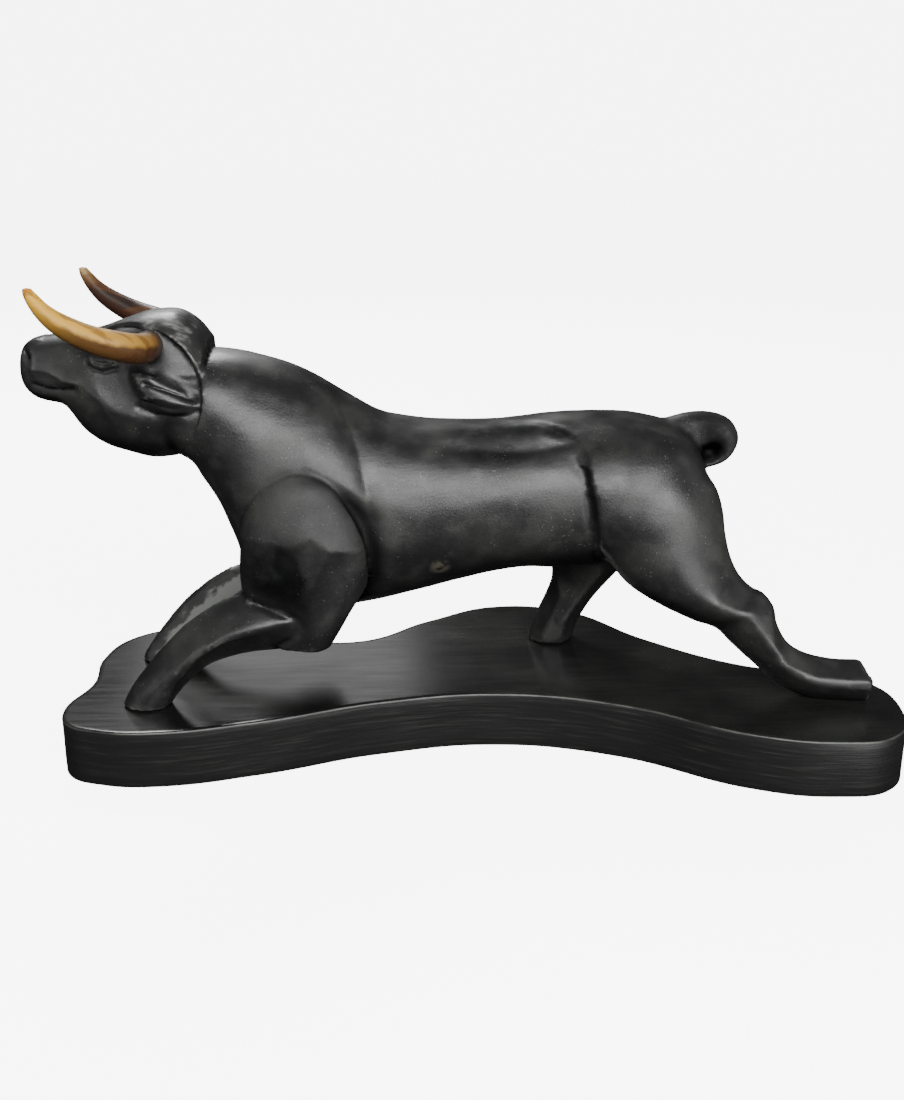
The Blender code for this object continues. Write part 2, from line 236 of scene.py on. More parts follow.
def plinth_finish():
    low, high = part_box("plinth")
    material, start, shader = new_finish("rubbed_black_paint")
    place = start.node("TexCoord", {}, output="Object")
    height = start.node("SeparateXYZ", {"Vector": place}, output="Z")
    facing = start.node("NewGeometry", {}, output="Normal")
    up = eased(start.node("SeparateXYZ", {"Vector": facing}, output="Z"), 0.55, 0.95)
    streaks = mottle(place, 34, 5, stretch=(1, 1, 20))
    grain = mottle(place, 26, 2, stretch=(1, 14, 1))
    cloud = mottle(place, 16, 4)
    dusty = up * eased(cloud + 0.2 * (grain - 0.5), 0.42, 0.72) * 0.6
    dusty = dusty + (1 - up) * eased(streaks, 0.52, 0.74) * 0.6
    paint = mixed(dusty, PLINTH_BLACK, PLINTH_DUSTY)
    arris = eased(height, high.z - 0.0016, high.z - 0.0004) * (1 - up) * eased(mottle(place, 60), 0.35, 0.6)
    paint = mixed(arris * 0.3, paint, PLINTH_RUBBED)
    chips = spot(place, (low.x + 0.004, -0.052, 0.006), 0.004)
    chips = chips + spot(place, (high.x - 0.0015, -0.055, 0.024), 0.003)
    paint = mixed(chips * eased(mottle(place, 500), 0.42, 0.5), paint, BARE_WOOD)
    paint.into(shader.inputs["Base Color"])
    gloss = 0.40 - 0.17 * up + 0.12 * (cloud - 0.5) + 0.14 * (streaks - 0.5) * (1 - up)
    gloss = gloss + 0.12 * (grain - 0.5) * up
    gloss.into(shader.inputs["Roughness"])
    bump(streaks * (1 - up), 0.22, 0.0008).into(shader.inputs["Normal"])
    return material


plinth = piece_of("plinth_board", plinth_shell())
plinth.data.set_sharp_from_angle(angle=math.radians(50))
plinth.data.materials.append(plinth_finish())
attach(plinth, "root")
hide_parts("plinth")

# Bull
# Carved from one block of close-grained wood, blocked out in rounded volumes with crisp valleys
# between them, then ebonised and waxed, so its edges are worn pale and its hollows are dull.
# Shade is painted near-black over its creases, hollows, downturned faces and some patches, and a
# sheen is painted pale grey on the crown and on a flat of the far foreleg.
BULL_LENGTH = 0.460
SHARE = BULL_LENGTH / 460    # the carving tables are in shares of the bull's length
FIT_GAP = 0.0003
FRONT_HOOF_NEAR, FRONT_HOOF_FAR = -38, 27
FAR_FOREARM_LOWER, FAR_FOREARM_FORWARD = 3.5, 3
PLINTH_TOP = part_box("plinth")[1].z
CARVING_GRAIN = 0.0015       # the size of the faces that the wood is carved in
CUTTER_DEPTH = 0.040
# Each row: upper end x, z; lower end x, z; middle y; half width; widest; squareness; tongue
TRUNK = (
    (-158, 188, -176, 136, 0, 30.5, 0.5, 2.5),
    (-138, 187, -157, 129.5, 0, 34.5, 0.5, 2.3),
    (-122, 184.5, -149, 117, 0, 37, 0.5, 2.1),
    (-104, 179.5, -141, 102, 0, 41, 0.47, 2.0),
    (-87, 172, -134, 83, 0, 45, 0.45, 2.0),
    (-70, 161.5, -127, 64, 0, 47.5, 0.45, 2.05),
    (-56, 153.5, -107, 49, 0, 48, 0.45, 2.1),
    (-44, 150, -78, 44.5, 0, 45, 0.47, 2.15),
    (-24, 147.5, -48, 49.5, 0, 43.5, 0.5, 2.15),
    (2, 147, -10, 59.5, 0, 44.5, 0.5, 2.15),
    (24, 148.5, 20, 65.5, 0, 45, 0.5, 2.15),
    (46, 151, 48, 65, 0, 44, 0.5, 2.1),
    (70, 150, 75, 68, 0, 41, 0.5, 2.1),
    (92, 146, 100, 78, 0, 35, 0.5, 2.1),
    (108, 138, 116, 96, 0, 25, 0.5, 2.0),
)
RUMP = (
    (51, 151.7, 63, 70, 0, 49.5, 0.45, 2.1, 38),
    (63, 152.2, 76, 69, 0, 51, 0.45, 2.1, 31),
    (77, 151.6, 89, 73, 0, 50.5, 0.45, 2.1, 17),
    (91, 149.5, 101, 80, 0, 47.5, 0.47, 2.1, 6),
    (104, 145, 112, 90, 0, 41, 0.5, 2.1, 0),
    (115, 137, 120, 102, 0, 31, 0.5, 2.0, 0),
    (121.5, 127, 124.5, 113, 0, 17, 0.5, 2.0, 0),
)
TONGUE_SLOPE, TONGUE_POINT = 0.10, 14
HEAD = (
    (-240.5, 184, -241, 173, 0, 8, 0.5, 2.5),
    (-238.5, 190, -239, 167, 0, 13, 0.5, 2.5),
    (-233, 193.5, -234, 162, 0, 16, 0.5, 2.4),
    (-224, 195, -226, 159.5, 0, 17.5, 0.5, 2.4),
    (-216, 196, -219, 157.5, 0, 18.5, 0.5, 2.4),
    (-208, 197, -211, 145, 0, 21, 0.5, 2.4),
    (-198, 199, -200, 137, 0, 25.5, 0.5, 2.4),
    (-186, 203, -187, 132.5, 0, 29.5, 0.5, 2.4),
    (-173, 207, -174, 129.5, 0, 32, 0.5, 2.4),
    (-159, 207.5, -163, 131, 0, 33.5, 0.5, 2.4),
    (-149, 202, -155, 138, 0, 33.5, 0.5, 2.4),
    (-142, 193, -150, 148, 0, 31, 0.5, 2.4),
)
UPPER_ARM = (
    (-87, 130, -108, 129, 36, 9, 0.5, 2.0),
    (-75, 122, -119, 120, 36.5, 16, 0.5, 2.0),
    (-64, 107, -126, 105, 36.5, 20, 0.5, 2.0),
    (-58.5, 89, -128.5, 87, 36, 21.5, 0.5, 2.0),
    (-60, 72, -129, 70, 36, 21.5, 0.5, 2.0),
    (-67, 58, -127, 56, 37, 20.5, 0.5, 2.1),
    (-75, 45, -121, 44, 38, 18, 0.5, 2.2),
    (-81.5, 33.5, -110, 33.5, 38, 14.5, 0.5, 2.4),
)
FOREARM = (
    (-90, 70, -88, 35, 0, 14, 0.5, 2.0),
    (-108, 66, -106, 31, 0, 15.5, 0.55, 1.6),
    (-126, 63.5, -122, 29.5, 0, 16, 0.54, 1.3),
    (-142, 57.5, -136, 26.5, 0, 15, 0.5, 1.25),
    (-158, 47, -149, 21.5, 0, 14, 0.45, 1.25),
    (-173, 32.5, -160, 12, 0, 13, 0.45, 1.3),
    (-184, 19, -168, 3, 0, 12.5, 0.5, 1.5),
    (-193, 6, -172, -6, 0, 12, 0.5, 2.0),
    (-197, -4, -175, -14, 0, 12, 0.5, 2.3),
)
HIND_LEG_BACK = (
    (100, 130, 72, 131, 24, 10, 0.5, 2.0),
    (114, 126, 58, 126, 24, 19, 0.5, 2.0),
    (124, 118, 53, 117, 25.5, 23, 0.5, 2.0),
    (128.5, 105, 55.5, 102, 28, 24.5, 0.5, 2.0),
    (131, 90, 63, 83, 30.5, 23.5, 0.5, 1.9),
    (134.5, 77, 77, 65, 33.5, 21.5, 0.5, 1.8),
    (139.5, 68, 95, 53, 36, 19.5, 0.5, 1.6),
    (146, 62, 113, 44, 38, 17.5, 0.52, 1.45),
    (151.5, 59.5, 126, 39.5, 39.5, 16, 0.55, 1.4),
    (156.5, 53, 135, 31, 41, 15, 0.55, 1.35),
    (160, 42, 147, 20.5, 42, 14.5, 0.55, 1.35),
    (167, 31, 158, 10.5, 43, 14.5, 0.58, 1.35),
    (179, 24.5, 173, 1.5, 44, 15, 0.6, 1.4),
    (194, 21.5, 190, -2.5, 45, 15, 0.62, 1.45),
    (208, 20.5, 211, -4, 45.5, 15, 0.65, 1.5),
)
HIND_LEG_FORWARD = (
    (100, 130, 70, 131, 24, 10, 0.5, 2.0),
    (113, 126, 57, 126, 24, 19, 0.5, 2.0),
    (121, 115, 49, 115, 26.5, 23, 0.5, 2.0),
    (120, 99, 45, 96, 30.5, 24, 0.5, 2.0),
    (112, 81, 42, 75, 34, 22.5, 0.5, 1.8),
    (100, 63, 45, 58, 38, 19, 0.5, 1.6),
    (86, 44, 47, 41, 41, 16, 0.5, 1.45),
    (74, 28.5, 42, 26, 43, 14, 0.5, 1.4),
    (65, 13, 36, 12, 44.5, 13, 0.5, 1.5),
    (61, 1, 34, 1, 46, 12.5, 0.5, 2.0),
    (59, -7, 33, -7, 46, 12, 0.5, 2.2),
)
TAIL = (
    (86, 145, 94, 125, 0, 9, 0.5, 2.1),
    (101, 147, 108, 125, 0, 9.5, 0.5, 2.2),
    (114, 150.5, 118, 128, 0, 9.5, 0.5, 2.2),
    (127, 150.5, 125.5, 131, 0, 9, 0.5, 2.2),
    (137.5, 146, 129.5, 130.5, 0, 8.5, 0.5, 2.2),
    (142.5, 137, 131, 128.5, 0, 8, 0.5, 2.2),
    (140.5, 128.5, 130, 126.5, 0, 7.5, 0.5, 2.2),
    (135.5, 123, 128.5, 125, 0, 7, 0.5, 2.1),
    (128, 120, 125.5, 124, 0, 6.5, 0.5, 2.0),
    (119, 118, 117, 123, 0, 6, 0.5, 2.0),
)
TAIL_HOLLOW = (127, 128)
TAIL_WALL_RADIUS, TAIL_WALL_HALF_THICKNESS = 9, 3
EAR = (
    (-180, 180, -180, 177, 27, 2.5, 0.5, 2.0),
    (-176, 180, -175, 167, 29.5, 3.5, 0.6, 1.8),
    (-167, 177.5, -166, 158.5, 31, 4.2, 0.65, 1.7),
    (-158, 173.5, -156.5, 155.5, 32, 4, 0.65, 1.7),
    (-150, 168.5, -149, 158, 32, 3, 0.6, 1.8),
    (-144.5, 165, -144, 162.5, 31.5, 1.5, 0.5, 2.0),
)
FACET_CENTRE, FACET_RADIUS = (-180, 28.2, 166), 37
FACET_LEAN, FACET_TOE_IN = 11, 6
LOIN_HOLLOW_CENTRE, LOIN_HOLLOW_SIZE, LOIN_HOLLOW_LEAN = (6, 23.2, 147.9), (55, 18.7, 8), 24.7
EBONY = (0.0085, 0.0085, 0.0090, 1)
EBONY_DUSTY = (0.024, 0.0245, 0.022, 1)
EBONY_WORN = (0.17, 0.165, 0.15, 1)
# Painted shade: the near-black laid over creases, hollows, faces turned down and the shaded patches
PAINTED_SHADE_BLACK = (0.004, 0.004, 0.0045, 1)
KNOT, KNOT_PALE = (-23, -37.6, 75.8), (0.15, 0.14, 0.10, 1)
# Where the wax is rubbed dull: a place on the left side, and how far it reaches
DULL_PATCHES = (((-104, -50, 110), 0.044), ((122, -9, 137), 0.028), ((-222, -16, 178), 0.022))
# Painted shade: places where the wood is painted near-black and metallic so it shows no highlight; a place, how far
# it reaches, how much
PAINTED_SHADE_PATCHES = (((-106, -56, 78), 0.034, 0.7), ((122, -9, 135), 0.026, 0.8), ((6, -22, 150), 0.042, 0.75),
                 ((64, -45, 132), 0.028, 0.4), ((-222, -16, 178), 0.020, 0.4),
                 ((44, -18, 143), 0.013, 0.7))
FACE_LIMIT = 186_000
DUST = (0.20, 0.20, 0.18, 1)
# Painted sheen: the pale grey laid where a highlight falls on the crown and on the far foreleg's flat
PAINTED_SHEEN_GREY = (0.14, 0.145, 0.135, 1)
# The two flats scraped on each upper arm: a place on each, and which way it faces
ARM_FLATS = (((-84, 56.3, 95), (0.2, 0.97, -0.06)), ((-105, 56, 95), (-0.3, 0.94, -0.12)))


def at(x, y, z):
    """A place given in shares of the bull's length, with its height above the plinth."""
    return Vector((x * SHARE, y * SHARE, PLINTH_TOP + FIT_GAP + z * SHARE))


def between(table, step, part):
    """The row a part of the way from one row of a table to the next, on a smooth curve."""
    rows = [table[min(max(step + k, 0), len(table) - 1)] for k in (-1, 0, 1, 2)]
    t = part
    weights = (-t + 2 * t**2 - t**3, 2 - 5 * t**2 + 3 * t**3, t + 4 * t**2 - 3 * t**3, t**3 - t**2)
    return [sum(w * row[i] for w, row in zip(weights, rows)) / 2 for i in range(len(rows[0]))]


def smooth_rows(table, fineness):
    rows = [between(table, step, k / fineness) for step in range(len(table) - 1) for k in range(fineness)]
    return rows + [list(table[-1])]


def power_of(value, power):
    return math.copysign(abs(value) ** (2 / power), value)


def section(row, sides, across):
    """One carved section, as the part's own tables give it."""
    top = Vector((row[0], row[1]))
    low = Vector((row[2], row[3]))
    middle, half_width, widest, power = row[4:8]
    tongue = row[8] if len(row) > 8 else 0
    centre = low.lerp(top, widest)
    points = []
    for k in range(sides):
        angle = math.tau * k / sides
        rise = power_of(math.sin(angle), power)
        place = centre.lerp(top, rise) if rise > 0 else centre.lerp(low, -rise)
        place -= Vector((1, TONGUE_SLOPE)) * tongue * max(rise, 0) ** TONGUE_POINT
        y = middle + half_width * power_of(math.cos(angle), power)
        points.append(at(place.x, across * y, place.y))
    return points


def volume(table, sides, across=1):
    return skin([section(row, sides, across) for row in smooth_rows(table, 6)])


def shifted(table, dx, dy, dz=0):
    return [(r[0] + dx, r[1] + dz, r[2] + dx, r[3] + dz, r[4] + dy, *r[5:]) for r in table]


def settled(thing):
    """Works out a piece's modifiers into its mesh."""
    view = bpy.context.evaluated_depsgraph_get()
    mesh = bpy.data.meshes.new_from_object(thing.evaluated_get(view), depsgraph=view)
    thing.modifiers.clear()
    thing.data = mesh


def cut(bm, cutters):
    """Takes closed cutters away from a closed shell."""
    thing = piece_of("wood", bm)
    for cutter in cutters:
        step = thing.modifiers.new("cut", "BOOLEAN")
        step.operation = "DIFFERENCE"
        step.object = cutter
        step.solver = "EXACT"
    settled(thing)
    cut_bm = bmesh.new()
    cut_bm.from_mesh(thing.data)
    for spent in [thing] + cutters:
        bpy.data.objects.remove(spent)
    return cut_bm


def head_facet(side):
    """The flat cut on a side of the head, which leaves the raised band over the crown."""
    turn = Euler((math.radians(90 + side * FACET_LEAN), 0, math.radians(side * FACET_TOE_IN)))
    turn = turn.to_matrix()
    x, y, z = FACET_CENTRE
    middle = at(x, side * y, z) + turn @ Vector((0, 0, -side)) * CUTTER_DEPTH / 2
    place = Matrix.Translation(middle) @ turn.to_4x4()
    radius = FACET_RADIUS * SHARE
    bm = bmesh.new()
    bmesh.ops.create_cone(bm, cap_ends=True, segments=120, radius1=radius, radius2=radius,
                          depth=CUTTER_DEPTH, matrix=place)
    return piece_of("facet", bm)


def ball(place, half_sizes, lean=0.0):
    sizes = Matrix.Diagonal([size * SHARE for size in half_sizes] + [1])
    turn = Matrix.Rotation(lean, 4, "X")
    bm = bmesh.new()
    bmesh.ops.create_uvsphere(bm, u_segments=64, v_segments=32, radius=1,
                              matrix=Matrix.Translation(place) @ turn @ sizes)
    return bm


def loin_hollow(side):
    x, y, z = LOIN_HOLLOW_CENTRE
    lean = math.radians(-side * LOIN_HOLLOW_LEAN)
    return piece_of("loin_hollow", ball(at(x, side * y, z), LOIN_HOLLOW_SIZE, lean))


def stood(bm):
    """A leg's shell cut flat at its sole."""
    sole = at(0, 0, 0)
    everything = bm.verts[:] + bm.edges[:] + bm.faces[:]
    bmesh.ops.bisect_plane(bm, geom=everything, plane_co=sole, plane_no=(0, 0, 1), clear_inner=True)
    rim = [edge for edge in bm.edges if edge.is_boundary]
    bmesh.ops.edgeloop_fill(bm, edges=rim)
    bmesh.ops.recalc_face_normals(bm, faces=bm.faces)
    return bm


def flat_scraped(bm, side):
    """An upper arm's shell with its two outer flats cut."""
    for (x, y, z), (facing_x, facing_y, facing_z) in ARM_FLATS:
        everything = bm.verts[:] + bm.edges[:] + bm.faces[:]
        facing = Vector((facing_x, side * facing_y, facing_z))
        bmesh.ops.bisect_plane(bm, geom=everything, plane_co=at(x, side * y, z), plane_no=facing,
                               clear_outer=True)
        rim = [edge for edge in bm.edges if edge.is_boundary]
        bmesh.ops.edgeloop_fill(bm, edges=rim)
    bmesh.ops.recalc_face_normals(bm, faces=bm.faces)
    return bm


def blocked_out():
    """The bull's volumes by name, as closed shells that run into each other."""
    wall = (TAIL_WALL_RADIUS, TAIL_WALL_HALF_THICKNESS, TAIL_WALL_RADIUS)
    near_forearm = shifted(FOREARM, 0, FRONT_HOOF_NEAR)
    far_forearm = shifted(FOREARM, -FAR_FOREARM_FORWARD, FRONT_HOOF_FAR, -FAR_FOREARM_LOWER)
    return {
        "trunk": cut(volume(TRUNK, 96), [loin_hollow(side) for side in (-1, 1)]),
        "rump": volume(RUMP, 96),
        "head": cut(volume(HEAD, 96), [head_facet(side) for side in (-1, 1)]),
        "left_upper_arm": flat_scraped(volume(UPPER_ARM, 64, -1), -1),
        "right_upper_arm": flat_scraped(volume(UPPER_ARM, 64), 1),
        "left_forearm": stood(volume(near_forearm, 48)),
        "right_forearm": stood(volume(far_forearm, 48)),
        "left_hind_leg": stood(volume(HIND_LEG_BACK, 64, -1)),
        "right_hind_leg": stood(volume(HIND_LEG_FORWARD, 64)),
        "tail": volume(TAIL, 40),
        "tail_wall": ball(at(TAIL_HOLLOW[0], 0, TAIL_HOLLOW[1]), wall),
        "left_ear": volume(EAR, 32, -1),
        "right_ear": volume(EAR, 32),
    }


def one_block(volumes):
    """The volumes grown together into one skin of even faces."""
    wood = bmesh.new()
    for bm in volumes.values():
        mesh = bpy.data.meshes.new("volume")
        bm.to_mesh(mesh)
        wood.from_mesh(mesh)
    thing = piece_of("carved_bull", wood)
    grain = thing.modifiers.new("grain", "REMESH")
    grain.mode = "VOXEL"
    grain.voxel_size = CARVING_GRAIN
    settled(thing)
    return thing


def places_of(mesh):
    flat = np.empty(3 * len(mesh.vertices))
    mesh.vertices.foreach_get("co", flat)
    return flat.reshape(-1, 3)


def edges_of(mesh):
    flat = np.empty(2 * len(mesh.edges), int)
    mesh.edges.foreach_get("vertices", flat)
    return flat.reshape(-1, 2)


def neighbour_mean(values, edges):
    """Each point's mean over the points it is joined to."""
    count = np.bincount(edges.ravel(), minlength=len(values))
    mean = np.empty_like(values)
    for axis in range(values.shape[1]):
        total = np.zeros(len(values))
        for here, there in ((0, 1), (1, 0)):
            total += np.bincount(edges[:, here], values[edges[:, there], axis], len(values))
        mean[:, axis] = total / np.maximum(count, 1)
    return mean


def smoothed(points, edges, rounds, weight=1.0):
    """Scraped smooth without shrinking: each round pulls in and then lets out again."""
    for _ in range(rounds):
        for pull in (0.5, -0.53):
            points = points + pull * weight * (neighbour_mean(points, edges) - points)
    return points


def finer(thing, behind):
    """Halves the faces in front of a share of the length, where the carving is finer."""
    bm = bmesh.new()
    bm.from_mesh(thing.data)
    limit = behind * SHARE
    near = [edge for edge in bm.edges if all(vert.co.x < limit for vert in edge.verts)]
    bmesh.ops.subdivide_edges(bm, edges=near, cuts=1, use_grid_fill=True)
    bm.to_mesh(thing.data)
    bm.free()


def outward_of(mesh):
    flat = np.empty(3 * len(mesh.vertices))
    mesh.vertex_normals.foreach_get("vector", flat)
    return flat.reshape(-1, 3)


def fall(distance, width):
    """1 at no distance, fading softly to 0 at a width."""
    t = np.clip(1 - distance / width, 0, 1)
    return t * t * (3 - 2 * t)


def keen(distance, width):
    """1 at no distance, falling to 0 at a width and steepest at the start, as a gouge cuts."""
    return np.clip(1 - distance / width, 0, 1) ** 2


def climb(value, low, high):
    t = np.clip((value - low) / (high - low), 0, 1)
    return t * t * (3 - 2 * t)


def away_from(tree, points):
    """How far each point is from a volume's skin, in shares."""
    return np.array([tree.find_nearest(Vector(point))[3] for point in points]) / SHARE


def away_from_line(flat, line):
    """How far each point of a side view is from a drawn line."""
    nearest = np.full(len(flat), np.inf)
    for start, end in zip(line, line[1:]):
        start, end = np.array(start), np.array(end)
        along = end - start
        share = np.clip((flat - start) @ along / (along @ along), 0, 1)
        nearest = np.minimum(nearest, np.linalg.norm(flat - start - share[:, None] * along, axis=1))
    return nearest


# Gouge strokes: what they cut, the line in the side view (x, height), how wide and how deep, all
# in shares. A minus depth leaves a ridge. They are cut in the outer faces on both sides.
OUTER_STROKES = (
    ("shoulder valley", ((-74, 160), (-69.3, 150.5), (-64.5, 138), (-61, 122), (-58.5, 104)), 13, 1.9),
    ("ear hollow", ((-172, 174.2), (-162, 171.8), (-154.5, 169.2), (-147, 165.6)), 5.4, 2.1),
    ("ear leaf edge", ((-174, 166.4), (-170, 167.4), (-162, 166.3), (-155, 164.5), (-147, 162.8)), 2.8, -0.7),
    ("groove in the ear", ((-173.7, 165.4), (-164.4, 162.8), (-156, 161.4)), 1.3, 0.5),
    ("under the ear", ((-176, 161.6), (-168.5, 158.4), (-160, 157), (-151.4, 157.6), (-146, 160.3)), 3.6, 1.1),
    ("lower lid", ((-201.3, 186), (-199, 182.4), (-194, 181), (-189, 182)), 1.5, -0.6),
    ("upper lid", ((-200, 186.6), (-197, 185), (-191.5, 184.4), (-188.6, 182.6)), 1.2, -0.5),
    ("under the eye", ((-203, 183), (-199.6, 180.2), (-194, 178.8), (-187, 180.4)), 2.6, 0.8),
    ("mouth ridge", ((-232, 179.4), (-225, 178.6), (-219.6, 176.4), (-216, 174), (-209, 172.8)), 5, -1.3),
    ("lip", ((-232, 171), (-225, 168.2), (-218.6, 168.4), (-211, 169.8)), 5, 1.3),
    ("nostril", ((-236.5, 188.5), (-233.8, 185.5)), 3.2, 2.0),
    ("nostril rim", ((-236, 190.8), (-232.5, 192.6), (-229, 193.6)), 2.2, -0.7),
    ("nose facet", ((-232.6, 188), (-231.4, 183), (-231.6, 177)), 2.6, -0.6),
    ("cheek plane", ((-205, 171), (-196, 164), (-190, 152)), 9, -0.6),
    ("arm ridge", ((-127, 96.5), (-109.5, 95.7), (-101, 94.2), (-89.6, 99.4), (-80, 91.4), (-66, 90.4)), 11, -1.5),
    ("arm lower ridge", ((-80, 91.4), (-89, 75), (-99, 57.6)), 9, -1.1),
    ("arm dark flat", ((-110, 83), (-104, 72), (-108, 66)), 10, 1.0),
    ("elbow notch", ((-127.5, 63.5), (-117, 58.6), (-102.5, 53.6)), 2.6, 1.5),
    ("forearm ridge", ((-102, 52.8), (-119.6, 48), (-137, 42.4), (-153.4, 31.5), (-166, 16), (-172, 4)), 10, -1.6),
    ("forearm upper ridge", ((-148, 54), (-158, 45), (-172, 31)), 5, -0.6),
    ("hock ridge", ((122, 59), (136.5, 53.4), (152.5, 51)), 8, -1.3),
    ("shin ridge", ((153, 50), (154.5, 36), (162, 24), (178.5, 16.5), (197, 14.6), (208, 14)), 8, -1.4),
    ("rump crease", ((10, 148), (27, 148.3), (41, 145.6), (49, 141), (53, 134)), 3.6, 0.6),
    ("rump crease low", ((55, 114), (56.3, 100), (60, 87), (66, 77)), 5, 1.3),
)
# The same in the inner face of the right legs, which shows under the body.
INNER_STROKES = (
    ("right foreleg ridge", ((-142, 53), (-157, 43.5), (-168, 34.5), (-178, 22), (-187, 12), (-193, 3)), 9, -2.2),
    ("right hind leg front ridge", ((50, 41), (52, 32), (47, 18), (41.5, 4)), 6, -1.2),
    ("right hind leg rear ridge", ((73.6, 49), (63, 33), (54.5, 17), (52, 4)), 7, -1.6),
)
# The line along the far foreleg's inner flat where a sheen is painted
SHEEN_FLAT = ((-136, 50), (-150, 40), (-162, 30), (-174, 18), (-184, 5))
CROWN_ARC_CENTRE, CROWN_ARC_RADIUS = (-179, 167), 35
CROWN_STEP, CROWN_STEP_WIDTH = 1.7, 13
EAR_BORDER = ((-182, 178), (-178, 166), (-171, 158.5), (-158, 155), (-147, 157))


def side_view(points):
    """The points' x and height in shares."""
    return np.stack([points[:, 0], points[:, 2] - PLINTH_TOP - FIT_GAP], 1) / SHARE


def stroked(points, outward, line, width, depth, faces):
    """The skin pushed in along a line, or out for a minus depth."""
    weight = keen(away_from_line(side_view(points), line), width) * faces
    return points - outward * (weight * depth * SHARE)[:, None]


def crown_stepped(points, outward, faces):
    """The face scraped back inside a round arc, which leaves the crown's band standing."""
    x, z = side_view(points).T
    inside = CROWN_ARC_RADIUS - np.hypot(x - CROWN_ARC_CENTRE[0], z - CROWN_ARC_CENTRE[1])
    back = keen(np.maximum(inside, 0), CROWN_STEP_WIDTH) * climb(inside, -0.6, 0.3)
    ends = climb(x, -200, -192) * climb(z, 143, 152) * climb(np.abs(points[:, 1]) / SHARE, 5, 10)
    head_only = x < -138
    return points - outward * (back * ends * faces * head_only * CROWN_STEP * SHARE)[:, None]


def tool_marks(points):
    """The faint wander that gouge and scraper leave, as heights in shares."""
    marks = np.empty(len(points))
    for k, point in enumerate(points):
        x, y, z = point
        broad = noise.noise(Vector((x * 60, y * 80, z * 80)))
        small = noise.noise(Vector((x * 260, y * 300, z * 300)))
        marks[k] = 0.30 * broad + 0.03 * small
    return marks


def keep_attribute(mesh, name, values):
    layer = mesh.attributes.new(name, "FLOAT", "POINT")
    layer.data.foreach_set("value", values.astype(np.float32))


def set_places(mesh, points):
    mesh.vertices.foreach_set("co", points.ravel())
    mesh.update()


bull_volumes = blocked_out()
bull_skins = {name: BVHTree.FromBMesh(bm) for name, bm in bull_volumes.items()}
bull = one_block(bull_volumes)
bull_points = places_of(bull.data)
bull_edges = edges_of(bull.data)

# Where two volumes flow into each other, the join is scraped away.
away = {name: away_from(bull_skins[name], bull_points)
        for name in ("trunk", "rump", "tail", "left_hind_leg", "right_hind_leg")}
flowing = np.zeros(len(bull_points))
for first, second, width in (
    ("rump", "left_hind_leg", 12), ("rump", "right_hind_leg", 12), ("rump", "tail", 2.5),
    ("trunk", "right_hind_leg", 5), ("trunk", "left_hind_leg", 3),
):
    flowing = np.maximum(flowing, fall(np.maximum(away[first], away[second]), width))
back_x, back_y, back_z = (bull_points - at(0, 0, 0)).T / SHARE
tongue_tip = fall(np.hypot(back_x - 12, back_y), 22) * climb(back_z, 138, 144)
loin_rim = climb(back_z, 128, 133) * fall(np.abs(back_x - 8), 75) * (back_z < 155)
from_arc = CROWN_ARC_RADIUS - np.hypot(back_x - CROWN_ARC_CENTRE[0], back_z - CROWN_ARC_CENTRE[1])
cheek = fall(np.abs(from_arc), 18) * (1 - climb(back_x, -200, -190) * climb(back_z, 144, 152)) * (back_x < -140)
ear_root = fall(np.hypot(back_x + 180, back_z - 174), 13)
crown_side = fall(away_from_line(side_view(bull_points), ((-162, 177.2), (-144, 177.2))), 7)
ear_border = fall(away_from_line(side_view(bull_points), EAR_BORDER), 6)
for spread in (tongue_tip, loin_rim, cheek, ear_root, ear_border, crown_side):
    flowing = np.maximum(flowing, spread)
for _ in range(24):
    bull_points += 0.6 * flowing[:, None] * (neighbour_mean(bull_points, bull_edges) - bull_points)
set_places(bull.data, bull_points)

finer(bull, -136)
bull_edges = edges_of(bull.data)
bull_points = smoothed(places_of(bull.data), bull_edges, 2)
set_places(bull.data, bull_points)
bull_outward = outward_of(bull.data)
back_x, back_y, back_z = (bull_points - at(0, 0, 0)).T / SHARE
away = {name: away_from(bull_skins[name], bull_points)
        for name in ("trunk", "rump", "head", "left_upper_arm", "right_upper_arm", "left_forearm", "right_forearm")}

# Where they don't, the lower one is cut back beside the higher one.
groove = np.zeros(len(bull_points))
for side, word in ((-1, "left"), (1, "right")):
    arm = away[word + "_upper_arm"]
    on_trunk = fall(away["trunk"], 1.4) * climb(side * bull_points[:, 1] / SHARE, 8, 16)
    behind = climb(back_x, -100, -68) * (1 - climb(back_z, 104, 128))
    cut_back = keen(arm, 3 + 10.5 * behind) * (1.1 + 4.2 * behind) * on_trunk
    groove = np.maximum(groove, cut_back)
    forearm = away[word + "_forearm"]
    groove = np.maximum(groove, 0.7 * fall(np.maximum(forearm, arm), 1.6))
on_trunk = fall(away["trunk"], 1.4)
beside_rump = on_trunk * keen(away["rump"], 7) * climb(back_z, 66, 76) * (1 - climb(back_z, 122, 140))
groove = np.maximum(groove, 1.5 * beside_rump * (back_x < 70))
groove = np.maximum(groove, 1.6 * on_trunk * keen(away["head"], 4))
bull_points -= bull_outward * (groove * SHARE)[:, None]
set_places(bull.data, bull_points)
outer = climb(bull_outward[:, 1] * np.sign(bull_points[:, 1]), 0.1, 0.4)
inner = climb(-bull_outward[:, 1], 0.1, 0.4) * (bull_points[:, 1] > 5 * SHARE)
bull_points = crown_stepped(bull_points, bull_outward, outer)
for strokes, faces in ((OUTER_STROKES, outer), (INNER_STROKES, inner)):
    for _, line, width, depth in strokes:
        bull_points = stroked(bull_points, bull_outward, line, width, depth, faces)
bull_points += bull_outward * (tool_marks(bull_points) * SHARE)[:, None]
bull_points = smoothed(bull_points, bull_edges, 1, 0.6)
bull_low, bull_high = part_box("bull")
bull_points = np.clip(bull_points, bull_low, bull_high)
set_places(bull.data, bull_points)
bull.data.shade_smooth()
